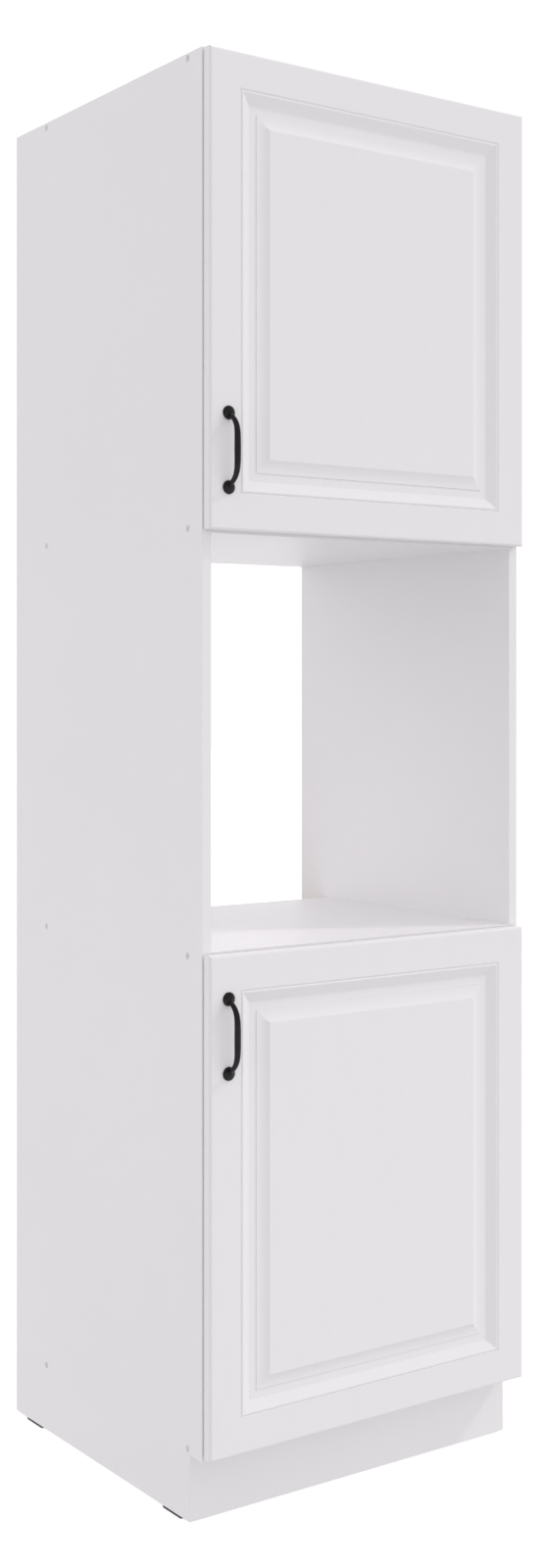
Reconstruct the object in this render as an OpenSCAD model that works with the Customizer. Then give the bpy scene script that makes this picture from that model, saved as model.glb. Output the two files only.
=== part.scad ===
// Tall housing unit for a built-in oven.
// A white board carcass holds an open niche between a lower and an upper compartment.
// Each compartment has a moulded door on concealed cup hinges at its right side.
// Millimetres. X runs to the right and is centred, +Y runs to the back, +Z is up.
// The origin is on the floor, in the middle of the unit's outer box.

/* [Carcass] */
// Width across the two side panels
unit_w = 600; // [500:10:900]
// Depth of the side panels
unit_d = 560; // [520:10:640]
// Height from the floor to the top of the side panels
unit_h = 2110; // [2000:10:2300]
// Thickness of the carcass boards and the shelves
board_t = 16; // [15:1:19]
// Thickness of the thin back panels
back_t = 3; // [2.5:0.5:4]
// How far the upper back panel lies in from the rear edges
back_inset = 1; // [1:0.5:4]
// Depth that a back panel reaches into each side panel
back_grip = 8; // [5:1:10]
// Air gap between the lower back panel and the rear edges of the side panels
vent_gap = 75; // [40:5:100]

/* [Levels] */
// Height of the bottom panel's underside above the floor
base_h = 100; // [80:5:150]
// Clear height inside the lower compartment
lower_space_h = 691; // [600:1:780]
// Clear height of the oven niche
niche_h = 597; // [560:1:620]

/* [Plinth and glides] */
// How far the plinth's face stands back from the carcass front
toe_setback = 32; // [20:1:60]
// Thickness of the floor glides
glide_t = 4; // [2:0.5:6]
// Length of a floor glide
glide_l = 50; // [40:1:60]
// Width of a floor glide
glide_w = 14; // [10:1:14]
// Distance of a front glide from the toe recess
glide_front_in = 9; // [5:1:30]
// Distance of a rear glide from the rear edge
glide_rear_in = 35; // [20:1:60]

/* [Shelves] */
// How far the shelves stand back from the carcass front
shelf_setback = 25; // [15:1:60]
// Gap between a shelf and the panels beside and behind it
shelf_gap = 1; // [0.5:0.5:3]
// Height of the lower shelf above the bottom panel
lower_shelf_rise = 330; // [250:5:400]
// Height of the upper shelf above the niche ceiling
upper_shelf_rise = 310; // [250:5:350]
// Distance between the shelf pin holes in a column
pin_step = 32; // [20:1:40]
// Distance of the front pin holes from the carcass front
pin_front_in = 60; // [50:1:90]
// Distance of the rear pin holes behind the front ones
pin_spread = 352; // [300:1:360]
// Diameter of the shelf pin holes
pin_d = 5; // [4:0.5:6]

/* [Doors] */
// Thickness of the doors
door_t = 16; // [16:1:20]
// Gap between the closed doors and the carcass front
door_gap = 2; // [1.8:0.1:3]
// Distance of the door edges from the outer faces of the sides
reveal_side = 2; // [1:0.5:3]
// Height of the lower door's bottom edge above the bottom panel's underside
reveal_base = 4; // [2:0.5:10]
// Distance of the lower door's top edge below the niche floor's top face
reveal_niche_floor = 3; // [1:0.5:10]
// Height of the upper door's bottom edge above the niche ceiling's underside
reveal_niche_top = 4; // [2:0.5:10]
// Distance of the upper door's top edge below the unit's top
reveal_top = 2; // [1:0.5:6]

/* [Door moulding] */
// Radius of the round-over on the front edges of the doors
edge_r = 4; // [2:0.5:6]
// Distance of the groove's bottom from the door's edge
groove_in = 54; // [50:0.5:54]
// Width of the groove's outer wall
groove_w = 1.8; // [1:0.2:3]
// Depth of the groove
groove_depth = 1.4; // [0.8:0.1:2]
// Width of the groove's slanted inner wall
groove_lip_w = 1.6; // [1:0.2:2]
// Distance of the bevel's top from the door's edge
bevel_in = 57; // [56:0.5:64]
// Width of the bevel
bevel_w = 15; // [12:0.5:18]
// Depth of the moulding below the door's face
mould_depth = 8; // [6:0.5:9]
// Width of the flat channel inside the bevel
channel_w = 12.5; // [8:0.5:20]
// Width of the cove that rises to the middle field
cove_w = 19.5; // [15:0.5:25]
// Height of the sharp step where the channel meets the cove
quirk_h = 1; // [0.5:0.1:1.5]
// How far the middle field lies below the door's face
field_drop = 1; // [0:0.5:2]

/* [Handles] */
// Distance of the handles from the door's left edge
handle_in = 31.6; // [25:0.1:40]
// Distance between the two rosettes of a handle
handle_pitch = 106; // [96:1:128]
// Distance of the lower handle's top rosette below its door's top edge
handle_drop = 63; // [50:0.5:90]
// Height of the upper handle's bottom rosette above its door's bottom edge
handle_rise = 60.5; // [50:0.5:90]
// Distance of the bow's centre line from the door's face
bow_out = 23; // [20:0.5:30]
// Width of the bow at its middle
bow_w = 10; // [8:0.5:12]
// Thickness of the bow at its middle
bow_t = 8; // [6:0.5:10]
// Width and thickness of the bow at its ends
bow_end = 6.6; // [5:0.2:8]
// How square the bow is, the power in its outline
bow_power = 5; // [3:1:6]
// Distance of the bow's ends from the rosette centres, towards the middle
bow_start = 1.5; // [0:0.5:4]
// Diameter of a rosette
rosette_d = 20; // [18:0.5:24]
// Height of a rosette's straight rim
rosette_rim = 2; // [1:0.5:3]
// Height of a rosette's dome above its rim
rosette_dome = 3.6; // [3:0.2:5]

/* [Hinges] */
// Opening angle of the doors
door_swing = 100; // [90:1:105]
// Distance of each hinge from the nearer end of its door
hinge_end = 100; // [80:5:140]
// Distance of the turning axis from the door's hinged edge
axis_in = 6.5; // [6:0.1:7]
// Distance of the turning axis behind the door's front face
axis_deep = 1.5; // [1:0.1:2]
// Diameter of a hinge cup
cup_d = 35; // [35:1:35]
// Distance of a cup's centre from the door's hinged edge
cup_in = 22.5; // [22:0.1:23]
// Depth of a hinge cup
cup_depth = 11.5; // [11.3:0.1:11.6]
// Distance of the mounting plates' screw line from the carcass front
plate_in = 37; // [37:1:40]
// Distance between the two screws of a mounting plate
plate_pitch = 32; // [30:1:36]

/* [Fastenings] */
// Distance of the front carcass screws from the carcass front
screw_front_in = 37; // [30:1:60]
// Distance of the rear carcass screws from the rear edge of the shallow panels
screw_rear_in = 25; // [20:1:60]
// Length of a carcass screw
screw_l = 50; // [40:1:60]
// Diameter of a carcass screw's head
screw_head_d = 10; // [9:0.5:10]
// Diameter of the holes in the wall brackets
wall_hole_d = 6; // [4:0.5:8]
// Distance of the wall brackets from the inner faces of the sides
wall_bracket_in = 60; // [30:5:100]

/* [Hidden] */

// Finishes
white_board = [0.93, 0.92, 0.93];
white_front = [0.95, 0.94, 0.95];
brown_board = [0.86, 0.84, 0.82];
black_metal = [0.10, 0.09, 0.10];
steel = [0.72, 0.73, 0.75];
black_plastic = [0.06, 0.06, 0.06];
clear_rubber = [0.85, 0.87, 0.88];

// Clearances: around shanks in their holes, around board edges, and how far cuts run past a face
hole_clear = 0.05;
edge_clear = 0.1;
cut = 1;

// Facet counts of large and small round shapes
$fn = 48;
fn_big = 96;

// Panel levels, all as heights above the floor
bottom_top = base_h + board_t;
niche_floor_z = bottom_top + lower_space_h;
niche_floor_top = niche_floor_z + board_t;
ceiling_z = niche_floor_top + niche_h;
ceiling_top = ceiling_z + board_t;
top_z = unit_h - board_t;
lower_shelf_z = bottom_top + lower_shelf_rise;
upper_shelf_z = ceiling_top + upper_shelf_rise;
panel_levels = [base_h, niche_floor_z, ceiling_z, top_z];

// Widths and depths, measured from the carcass front
inner_w = unit_w - 2 * board_t;
lower_d = unit_d - vent_gap - back_t;
upper_d = unit_d - back_inset - back_t;
screw_ys = [screw_front_in, lower_d - screw_rear_in];
notch_d = toe_setback + board_t;

// Doors
door_w = unit_w - 2 * reveal_side;
face_y = -door_gap - door_t;
lower_door_z = base_h + reveal_base;
lower_door_h = niche_floor_top - reveal_niche_floor - lower_door_z;
upper_door_z = ceiling_z + reveal_niche_top;
upper_door_h = unit_h - reveal_top - upper_door_z;
lower_hinge_zs = [lower_door_z + hinge_end, lower_door_z + lower_door_h - hinge_end];
upper_hinge_zs = [upper_door_z + hinge_end, upper_door_z + upper_door_h - hinge_end];

// Handles: x of both, and the height of each one's middle
handle_x = -door_w / 2 + handle_in;
lower_handle_z = lower_door_z + lower_door_h - handle_drop - handle_pitch / 2;
upper_handle_z = upper_door_z + handle_rise + handle_pitch / 2;
handle_ends = [-handle_pitch / 2, handle_pitch / 2];
handle_bore_depth = 4.4;
handle_screw_r = 2;
handle_screw_head_r = 4;
handle_screw_head_h = 2.4;

// The carcass front's place in the part's frame, so that the outer box is centred on the origin
front_reach = -face_y + bow_out + bow_t / 2;
carcass_y = front_reach - (front_reach + unit_d) / 2;

// Carcass screws: a countersunk head, a smooth neck through the side and a thinner threaded end
screw_neck_r = 3.5;
screw_core_r = 2.5;
screw_head_h = 4;
screw_sunk = 0.3;
screw_socket_r = 2.3;
screw_socket_h = 3;

// Small pan-head screws of brackets, cups and mounting plates
small_screw_r = 1.7;
small_head_r = 3.4;
small_head_h = 1.6;
bracket_screw_l = 13;
bracket_t = 2;

// Plinth brackets and wall brackets
plinth_leg = 28;
plinth_bracket_h = 30;
plinth_screw_in = 18;
wall_leg = 40;
wall_bracket_w = 30;
wall_hole_drop = 24;
wall_screw_spread = 16;

// Nails of the back panels
nail_r = 0.8;
nail_head_r = 2.2;
nail_head_h = 0.7;
nail_l = 18;
nails_across = 5;
nails_up = 4;
nail_end_in = 40;

// Shelf pins: a peg in the side panel and a sleeve under the shelf
pin_hole_depth = 10;
pin_peg_l = 9;
pin_sleeve_r = 3.5;
pin_sleeve_l = 8;
pin_rows = [-2, -1, 0, 1, 2];

// Door bumpers
bumper_r = 4;
bumper_t = door_gap - edge_clear;
bumper_end_in = 22;

// Hinges, in a plane seen from above. x is the distance from the side panel's inner face into the
// unit, y is as in the carcass. The door turns about axis_p and the link about link_p on the door.
door_edge_x = reveal_side - board_t;
axis_p = [door_edge_x + axis_in, face_y + axis_deep];
cup_x = door_edge_x + cup_in;
cup_pin_in = 9.5;
cup_pin_deep = 5.5;
link_p = [door_edge_x + cup_pin_in, -door_gap - cup_pin_deep];
nose_reach = 24;
link_vec = link_p - axis_p;
nose_angle = atan2(link_vec[1], link_vec[0]) - door_swing / 2;
nose_p = axis_p + nose_reach * [cos(nose_angle), sin(nose_angle)];
link_l = norm(nose_p - link_p);
link_min_l = nose_reach - norm(link_vec);
link_angle = atan2(nose_p[1] - link_p[1], nose_p[0] - link_p[0]);
cup_wall = 1;
cup_flange_t = 1.2;
cup_flange_r = 19;
cup_pin_r = 1.1;
wing_w = 15;
wing_h = 56;
wing_in = 2;
cup_screw_x = 9.5;
cup_screw_z = 22.5;
cup_screw_l = 13;
link_w = 10;
link_t = 2.3;
link_eye_r = 2.4;
link_belly = [6.4, -3.7];
notch_deep = 3.4;
slot_wall = 1;
slot_half = 2.4;
nose_pin_r = 1.1;
nose_r = 3.2;
arm_sheet = 1.2;
arm_half_w = 7.2;
arm_rear_y = 60;
arm_top_x = 9.5;
arm_low_x = 2.3;
arm_low_y = 20;
arm_bend_y = 16;
plate_base_t = 2;
plate_base_l = 14;
plate_h = 52;
plate_block_l = 34;
plate_screw_r = 2.5;
plate_screw_head_r = 4;
plate_screw_l = 13;

// Moves the carcass front to its place in the part's frame
module in_unit() {
    translate([0, carcass_y, 0]) children();
}

// A copy at the left side as drawn, with x from the outer face inwards
module at_left() {
    translate([-unit_w / 2, 0, 0]) children();
}

// A copy at the right side, mirrored
module at_right() {
    translate([unit_w / 2, 0, 0]) mirror([1, 0, 0]) children();
}

module at_both() {
    at_left() children();
    at_right() children();
}

// A place on the right side panel's inner face, with x running into the unit
module at_hinge(z) {
    at_right() translate([board_t, 0, z]) children();
}

// A round rod along +x, along +y or along -y
module rod_x(r, l) {
    rotate([0, 90, 0]) cylinder(r = r, h = l);
}

module rod_y(r, l) {
    rotate([-90, 0, 0]) cylinder(r = r, h = l);
}

// A pan-head screw whose head lies on z = 0, pointing down
module small_screw(l) {
    cylinder(r = small_head_r, h = small_head_h);
    translate([0, 0, -l]) cylinder(r = small_screw_r, h = l);
}

// ---- Carcass screws ----

// One carcass screw, or its hole with a clearance, from a side panel's outer face along +x
module carcass_screw(clear, start) {
    translate([screw_sunk, 0, 0]) rotate([0, 90, 0]) {
        cylinder(r1 = screw_head_d / 2 + clear, r2 = screw_neck_r + clear, h = screw_head_h);
        cylinder(r = screw_neck_r + clear, h = board_t - screw_sunk);
        cylinder(r = screw_core_r + clear, h = screw_l);
    }
    if (start > 0)
        translate([-start, 0, 0]) rod_x(screw_head_d / 2 + clear, start + screw_sunk);
}

module at_carcass_screws() {
    for (z = panel_levels, y = screw_ys) translate([0, y, z + board_t / 2]) children();
}

// The threaded ends' holes in a horizontal panel whose underside is at z
module panel_end_holes(z) {
    at_both() for (y = screw_ys) translate([0, y, z + board_t / 2]) carcass_screw(hole_clear, 0);
}

module side_screws() {
    at_carcass_screws() difference() {
        carcass_screw(0, 0);
        // hexagon socket
        translate([screw_sunk - cut, 0, 0]) rotate([0, 90, 0])
            cylinder(r = screw_socket_r, h = screw_socket_h + cut, $fn = 6);
    }
}

// ---- Panels ----

// Heights of the pin holes in both compartments
function pin_levels(shelf_z) = [for (i = pin_rows) shelf_z - pin_sleeve_r + i * pin_step];

module pin_holes(shelf_z) {
    for (z = pin_levels(shelf_z), y = [pin_front_in, pin_front_in + pin_spread])
        translate([board_t - pin_hole_depth, y, z]) rod_x(pin_d / 2 + hole_clear, pin_hole_depth + cut);
}

// A side panel from x = 0, its outer face, to x = board_t
module side_panel() {
    difference() {
        translate([0, 0, glide_t]) cube([board_t, unit_d, unit_h - glide_t]);
        // toe recess
        translate([-cut, -cut, glide_t - cut])
            cube([board_t + 2 * cut, notch_d + cut, base_h - glide_t + cut]);
        // rebate for the upper back panel, open at the rear edge
        translate([board_t - back_grip, upper_d, ceiling_z])
            cube([back_grip + cut, unit_d - upper_d + cut, unit_h - ceiling_z + cut]);
        // stopped groove for the lower back panel
        translate([board_t - back_grip, lower_d - edge_clear, base_h - edge_clear])
            cube([back_grip + cut, back_t + 2 * edge_clear, niche_floor_top - base_h + 2 * edge_clear]);
        at_carcass_screws() carcass_screw(hole_clear, cut);
        pin_holes(lower_shelf_z);
        pin_holes(upper_shelf_z);
        translate([0, 0, plinth_mid_z]) plinth_side_screw_hole();
        for (y = glide_ys) translate([board_t / 2, y + glide_l / 2, glide_t - cut])
            cylinder(r = glide_peg_r + hole_clear, h = glide_peg_l + cut + edge_clear);
        rebate_nail_holes();
    }
}

// A horizontal panel between the sides
module cross_panel(z, depth) {
    difference() {
        translate([-inner_w / 2, 0, z]) cube([inner_w, depth, board_t]);
        panel_end_holes(z);
        edge_nail_holes(z, depth);
    }
}

module side_left() {
    color(white_board) in_unit() at_left() side_panel();
}

module side_right() {
    color(white_board) in_unit() difference() {
        at_right() side_panel();
        for (z = concat(lower_hinge_zs, upper_hinge_zs), dz = [-plate_pitch / 2, plate_pitch / 2])
            at_hinge(z + dz) translate([plate_base_t - plate_screw_l - edge_clear, plate_in, 0])
                rod_x(plate_screw_r + hole_clear, plate_screw_l);
    }
}

module top_panel() {
    color(white_board) in_unit() difference() {
        cross_panel(top_z, upper_d);
        at_wall_bracket_screws() small_hole();
    }
}

module niche_ceiling() {
    color(white_board) in_unit() cross_panel(ceiling_z, upper_d);
}

module niche_floor() {
    color(white_board) in_unit() cross_panel(niche_floor_z, lower_d);
}

module bottom_panel() {
    color(white_board) in_unit() cross_panel(base_h, lower_d);
}

// ---- Back panels and their nails ----

nail_xs = [for (i = [0 : nails_across - 1])
    -inner_w / 2 + nail_end_in + i * (inner_w - 2 * nail_end_in) / (nails_across - 1)];
nail_zs = [for (i = [1 : nails_up]) ceiling_top + i * (top_z - ceiling_top) / (nails_up + 1)];
rebate_nail_x = board_t - back_grip / 2;

// One nail along -y from the back panel's rear face at y
module nail(y) {
    translate([0, y, 0]) rod_y(nail_head_r, nail_head_h);
    translate([0, y - nail_l, 0]) rod_y(nail_r, nail_l);
}

module nail_hole(y) {
    translate([0, y - nail_l - edge_clear, 0]) rod_y(nail_r + hole_clear, nail_l + edge_clear + cut);
}

// Nail holes in the rear edge of a horizontal panel, and in the side panel's rebate
module edge_nail_holes(z, depth) {
    for (x = nail_xs) translate([x, 0, z + board_t / 2]) nail_hole(depth + back_t);
}

module rebate_nail_holes() {
    for (z = nail_zs) translate([rebate_nail_x, 0, z]) nail_hole(upper_d + back_t);
}

module at_upper_nails() {
    for (x = nail_xs, z = [ceiling_z, top_z]) translate([x, 0, z + board_t / 2]) children();
    at_both() for (z = nail_zs) translate([rebate_nail_x, 0, z]) children();
}

module at_lower_nails() {
    for (x = nail_xs, z = [base_h, niche_floor_z]) translate([x, 0, z + board_t / 2]) children();
}

module back_sheet(y, z, h) {
    w = inner_w + 2 * (back_grip - edge_clear);
    translate([-w / 2, y, z]) cube([w, back_t, h]);
}

module back_upper() {
    color(brown_board) in_unit() difference() {
        back_sheet(upper_d, ceiling_z, unit_h - ceiling_z);
        at_upper_nails() nail_hole(upper_d + back_t);
        at_wall_holes() wall_hole();
    }
}

module back_lower() {
    color(brown_board) in_unit() difference() {
        back_sheet(lower_d, base_h, niche_floor_top - base_h);
        at_lower_nails() nail_hole(lower_d + back_t);
    }
}

module back_nails_upper() {
    color(steel) in_unit() at_upper_nails() nail(upper_d + back_t);
}

module back_nails_lower() {
    color(steel) in_unit() at_lower_nails() nail(lower_d + back_t);
}

module carcass_screws_left() {
    color(steel) in_unit() at_left() side_screws();
}

module carcass_screws_right() {
    color(steel) in_unit() at_right() side_screws();
}

// ---- Plinth ----

plinth_mid_z = (glide_t + base_h) / 2;

// Places of the bracket screws, from the side panel's outer face: into the side and into the plinth
module at_plinth_side_screw() {
    translate([board_t, notch_d + plinth_screw_in, 0]) rotate([0, 90, 0]) children();
}

module at_plinth_board_screw() {
    translate([board_t + plinth_screw_in, notch_d, plinth_mid_z]) rotate([-90, 0, 0]) children();
}

// A hole for a small screw whose bracket lies on z = 0
module small_hole() {
    depth = bracket_screw_l - bracket_t + edge_clear;
    translate([0, 0, -depth]) cylinder(r = small_screw_r + hole_clear, h = depth + bracket_t + cut);
}

module plinth_side_screw_hole() {
    at_plinth_side_screw() small_hole();
}

module plinth() {
    color(white_board) in_unit() difference() {
        translate([-unit_w / 2, toe_setback, glide_t]) cube([unit_w, board_t, base_h - glide_t]);
        at_both() at_plinth_board_screw() small_hole();
    }
}

module plinth_brackets() {
    color(steel) in_unit() at_both() difference() {
        translate([board_t, notch_d, plinth_mid_z - plinth_bracket_h / 2]) {
            cube([bracket_t, plinth_leg, plinth_bracket_h]);
            cube([plinth_leg, bracket_t, plinth_bracket_h]);
        }
        translate([0, 0, plinth_mid_z]) plinth_side_screw_hole();
        at_plinth_board_screw() small_hole();
    }
}

module plinth_screws() {
    color(steel) in_unit() at_both() {
        translate([0, 0, plinth_mid_z]) at_plinth_side_screw()
            translate([0, 0, bracket_t]) small_screw(bracket_screw_l);
        at_plinth_board_screw() translate([0, 0, bracket_t]) small_screw(bracket_screw_l);
    }
}

// ---- Floor glides ----

glide_ys = [notch_d + glide_front_in, unit_d - glide_rear_in - glide_l];
glide_peg_r = 3;
glide_peg_l = 8;
glide_corner_r = 2;

module rounded_plate(w, l, r) {
    translate([-w / 2 + r, -l / 2]) square([w - 2 * r, l]);
    translate([-w / 2, -l / 2 + r]) square([w, l - 2 * r]);
    for (x = [-1, 1], y = [-1, 1]) translate([x * (w / 2 - r), y * (l / 2 - r)]) circle(r);
}

module glides() {
    color(black_plastic) in_unit() at_both()
        for (y = glide_ys) translate([board_t / 2, y + glide_l / 2, 0]) {
            linear_extrude(glide_t) rounded_plate(glide_w, glide_l, glide_corner_r);
            cylinder(r = glide_peg_r, h = glide_t + glide_peg_l);
        }
}

// ---- Shelves ----

module shelf(z, depth) {
    translate([-inner_w / 2 + shelf_gap, shelf_setback, z])
        cube([inner_w - 2 * shelf_gap, depth - shelf_setback - shelf_gap, board_t]);
}

module shelf_pins(z) {
    at_both() for (y = [pin_front_in, pin_front_in + pin_spread])
        translate([board_t, y, z - pin_sleeve_r]) {
            translate([-pin_peg_l, 0, 0]) rod_x(pin_d / 2, pin_peg_l + pin_sleeve_l);
            rod_x(pin_sleeve_r, pin_sleeve_l);
        }
}

module shelf_upper() {
    color(white_board) in_unit() shelf(upper_shelf_z, upper_d);
}

module shelf_lower() {
    color(white_board) in_unit() shelf(lower_shelf_z, lower_d);
}

module shelf_pins_upper() {
    color(steel) in_unit() shelf_pins(upper_shelf_z);
}

module shelf_pins_lower() {
    color(steel) in_unit() shelf_pins(lower_shelf_z);
}

// ---- Wall brackets ----

wall_screw_front_in = 12;
wall_screw_xs = [-wall_screw_spread / 2, wall_screw_spread / 2];

module at_wall_brackets() {
    for (s = [-1, 1]) translate([s * (inner_w / 2 - wall_bracket_in - wall_bracket_w / 2), 0, 0])
        children();
}

// The wall holes' places, starting in front of the bracket's upright leg
module at_wall_holes() {
    at_wall_brackets() translate([0, upper_d - bracket_t - cut, top_z - wall_hole_drop]) children();
}

module wall_hole() {
    rod_y(wall_hole_d / 2, bracket_t + back_t + 2 * cut);
}

module at_wall_bracket_screws() {
    at_wall_brackets() for (x = wall_screw_xs)
        translate([x, upper_d - wall_leg + wall_screw_front_in, top_z]) mirror([0, 0, 1]) children();
}

module wall_brackets() {
    color(steel) in_unit() difference() {
        at_wall_brackets() {
            translate([-wall_bracket_w / 2, upper_d - wall_leg, top_z - bracket_t])
                cube([wall_bracket_w, wall_leg, bracket_t]);
            translate([-wall_bracket_w / 2, upper_d - bracket_t, top_z - wall_leg])
                cube([wall_bracket_w, bracket_t, wall_leg]);
        }
        at_wall_bracket_screws() small_hole();
        at_wall_holes() wall_hole();
    }
}

module wall_bracket_screws() {
    color(steel) in_unit() at_wall_bracket_screws()
        translate([0, 0, bracket_t]) small_screw(bracket_screw_l);
}

// ---- Doors ----

groove_r = (pow(groove_w, 2) + pow(groove_depth, 2)) / (2 * groove_depth);
channel_in = bevel_in + bevel_w;
cove_in = channel_in + channel_w;
cove_deep = mould_depth - quirk_h;
cove_h = cove_deep - field_drop;
cove_r = (pow(cove_w, 2) + pow(cove_h, 2)) / (2 * cove_h);

// A shape for the door's face whose section is the same from all four edges. The section is drawn
// across a face of width $l, with x from the face's middle and y into the door.
module all_round(w, h) {
    intersection() {
        let ($l = w) translate([0, 0, -h / 2]) linear_extrude(h) children();
        let ($l = h) rotate([0, 90, 0]) translate([0, 0, -w / 2]) linear_extrude(w) children();
    }
}

// The board with its front edges rounded over
module slab_section() {
    translate([edge_r - $l / 2, 0]) square([$l - 2 * edge_r, door_t]);
    translate([-$l / 2, edge_r]) square([$l, door_t - edge_r]);
    for (s = [-1, 1]) translate([s * ($l / 2 - edge_r), edge_r]) circle(edge_r, $fn = fn_big);
}

// The strip of a section that keeps a distance from both edges, from a top to a depth
module span(in, depth, top = -cut) {
    translate([in - $l / 2, top]) square([$l - 2 * in, depth - top]);
}

// A circle of radius r at both ends of such a strip, with its centre at a depth
module span_ends(in, depth, r, facets) {
    for (s = [-1, 1]) translate([s * ($l / 2 - in), depth]) circle(r, $fn = facets);
}

// A strip whose sides slant through two places, each a distance from the edge and a depth, and on
// past both of them
module slanted_span(first, second) {
    step = cut * (second - first) / abs(second[1] - first[1]);
    from = first - step - [$l / 2, 0];
    to = second + step - [$l / 2, 0];
    polygon([from, to, [-to[0], to[1]], [-from[0], from[1]]]);
}

// The groove is this pit less the mound within it
module groove_pit_section() {
    span(groove_in, groove_depth);
    span_ends(groove_in, groove_depth - groove_r, groove_r, $fn);
}

module bead_mound_section() {
    slanted_span([groove_in, groove_depth], [groove_in + groove_lip_w, 0]);
}

// The pit inside the bevel, down to the channel
module bevel_pit_section() {
    intersection() {
        slanted_span([bevel_in, 0], [channel_in, mould_depth]);
        span(0, mould_depth);
    }
}

// The middle field with the cove along its edges
module field_section() {
    difference() {
        span(cove_in, mould_depth + cut, field_drop);
        intersection() {
            span(cove_in - cut, cove_deep);
            span_ends(cove_in, cove_deep - cove_r, cove_r, fn_big);
        }
    }
}

module door_board(h) {
    difference() {
        all_round(door_w, h) slab_section();
        difference() {
            all_round(door_w, h) groove_pit_section();
            all_round(door_w, h) bead_mound_section();
        }
        difference() {
            all_round(door_w, h) bevel_pit_section();
            all_round(door_w, h) field_section();
        }
    }
}

// Handle screw places, from the door's front face at y = 0, along +y
module at_handle_screws(z) {
    for (end = handle_ends) translate([handle_x, 0, z + end]) children();
}

// A door whose bottom edge is at z, with its front face at y = 0
module door(z, h, hinge_zs, handle_z) {
    difference() {
        translate([0, 0, z + h / 2]) door_board(h);
        at_handle_screws(handle_z) translate([0, -cut, 0])
            rod_y(handle_screw_r + hole_clear, door_t + 2 * cut);
        for (hinge_z = hinge_zs) translate([door_w / 2 - cup_in, door_t, hinge_z]) {
            translate([0, -cup_depth - edge_clear, 0]) rod_y(cup_d / 2 + hole_clear, cup_depth + cut);
            for (dz = [-cup_screw_z, cup_screw_z])
                translate([-cup_screw_x, -cup_screw_l + cup_flange_t - edge_clear, dz])
                    rod_y(small_screw_r + hole_clear, cup_screw_l + cut);
        }
    }
}

module at_face() {
    in_unit() translate([0, face_y, 0]) children();
}

module door_upper() {
    color(white_front) at_face() door(upper_door_z, upper_door_h, upper_hinge_zs, upper_handle_z);
}

module door_lower() {
    color(white_front) at_face() door(lower_door_z, lower_door_h, lower_hinge_zs, lower_handle_z);
}

module bumpers(z, h) {
    x = -(door_w / 2 + inner_w / 2) / 2;
    for (bumper_z = [z + bumper_end_in, z + h - bumper_end_in])
        translate([x, -door_gap, bumper_z]) rod_y(bumper_r, bumper_t);
}

module bumpers_upper() {
    color(clear_rubber) in_unit() bumpers(upper_door_z, upper_door_h);
}

module bumpers_lower() {
    color(clear_rubber) in_unit() bumpers(lower_door_z, lower_door_h);
}

// ---- Handles ----

bow_rings = 28;
bow_sides = 16;
bow_half = handle_pitch / 2 - bow_start;

// The bow at t from -1 to 1: its centre line, its unit normal in the yz plane and its thickness
function bow_mid(t) = [-bow_out * (1 - pow(abs(t), bow_power)), bow_half * t];
function bow_slope(t) = [bow_power * bow_out * sign(t) * pow(abs(t), bow_power - 1), bow_half];
function bow_normal(t) = [bow_slope(t)[1], -bow_slope(t)[0]] / norm(bow_slope(t));
function bow_size(t, middle) = bow_end + (middle - bow_end) * (1 - t * t);
function bow_point(t, a) = let (n = bow_normal(t) * bow_size(t, bow_t) / 2 * sin(a), c = bow_mid(t))
    [bow_size(t, bow_w) / 2 * cos(a), c[0] + n[0], c[1] + n[1]];

module bow() {
    ts = [for (i = [0 : bow_rings]) sin(180 * i / bow_rings - 90)];
    points = [for (t = ts, j = [0 : bow_sides - 1]) bow_point(t, 360 * j / bow_sides)];
    walls = [for (i = [0 : bow_rings - 1], j = [0 : bow_sides - 1])
        let (a = i * bow_sides + j, b = i * bow_sides + (j + 1) % bow_sides)
            each [[a, b + bow_sides, b], [a, a + bow_sides, b + bow_sides]]];
    first_end = [for (j = [0 : bow_sides - 1]) j];
    last_end = [for (j = [0 : bow_sides - 1]) (bow_rings + 1) * bow_sides - 1 - j];
    polyhedron(points, concat(walls, [first_end, last_end]));
}

// A domed disc whose back lies on y = 0, rising towards -y
module rosette() {
    r = rosette_d / 2;
    dome_r = (r * r + rosette_dome * rosette_dome) / (2 * rosette_dome);
    rotate([90, 0, 0]) rotate_extrude($fn = fn_big) {
        square([r, rosette_rim]);
        intersection() {
            square([r, rosette_rim + rosette_dome]);
            translate([0, rosette_rim + rosette_dome - dome_r]) circle(dome_r, $fn = fn_big);
        }
    }
}

module handle(z) {
    translate([handle_x, 0, z]) difference() {
        union() {
            bow();
            for (end = handle_ends) translate([0, 0, end]) rosette();
        }
        translate([-rosette_d, 0, -handle_pitch]) cube([2 * rosette_d, rosette_d, 2 * handle_pitch]);
        for (end = handle_ends) translate([0, -handle_bore_depth, end])
            rod_y(handle_screw_r + hole_clear, handle_bore_depth + cut);
    }
}

module handle_screws(z) {
    reach = door_t + handle_bore_depth - 2 * edge_clear;
    at_handle_screws(z) translate([0, door_t, 0]) {
        rod_y(handle_screw_head_r, handle_screw_head_h);
        translate([0, -reach, 0]) rod_y(handle_screw_r, reach);
    }
}

module handle_upper() {
    color(black_metal) at_face() handle(upper_handle_z);
}

module handle_lower() {
    color(black_metal) at_face() handle(lower_handle_z);
}

module handle_screws_upper() {
    color(steel) at_face() handle_screws(upper_handle_z);
}

module handle_screws_lower() {
    color(steel) at_face() handle_screws(lower_handle_z);
}

// ---- Hinges ----

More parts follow.
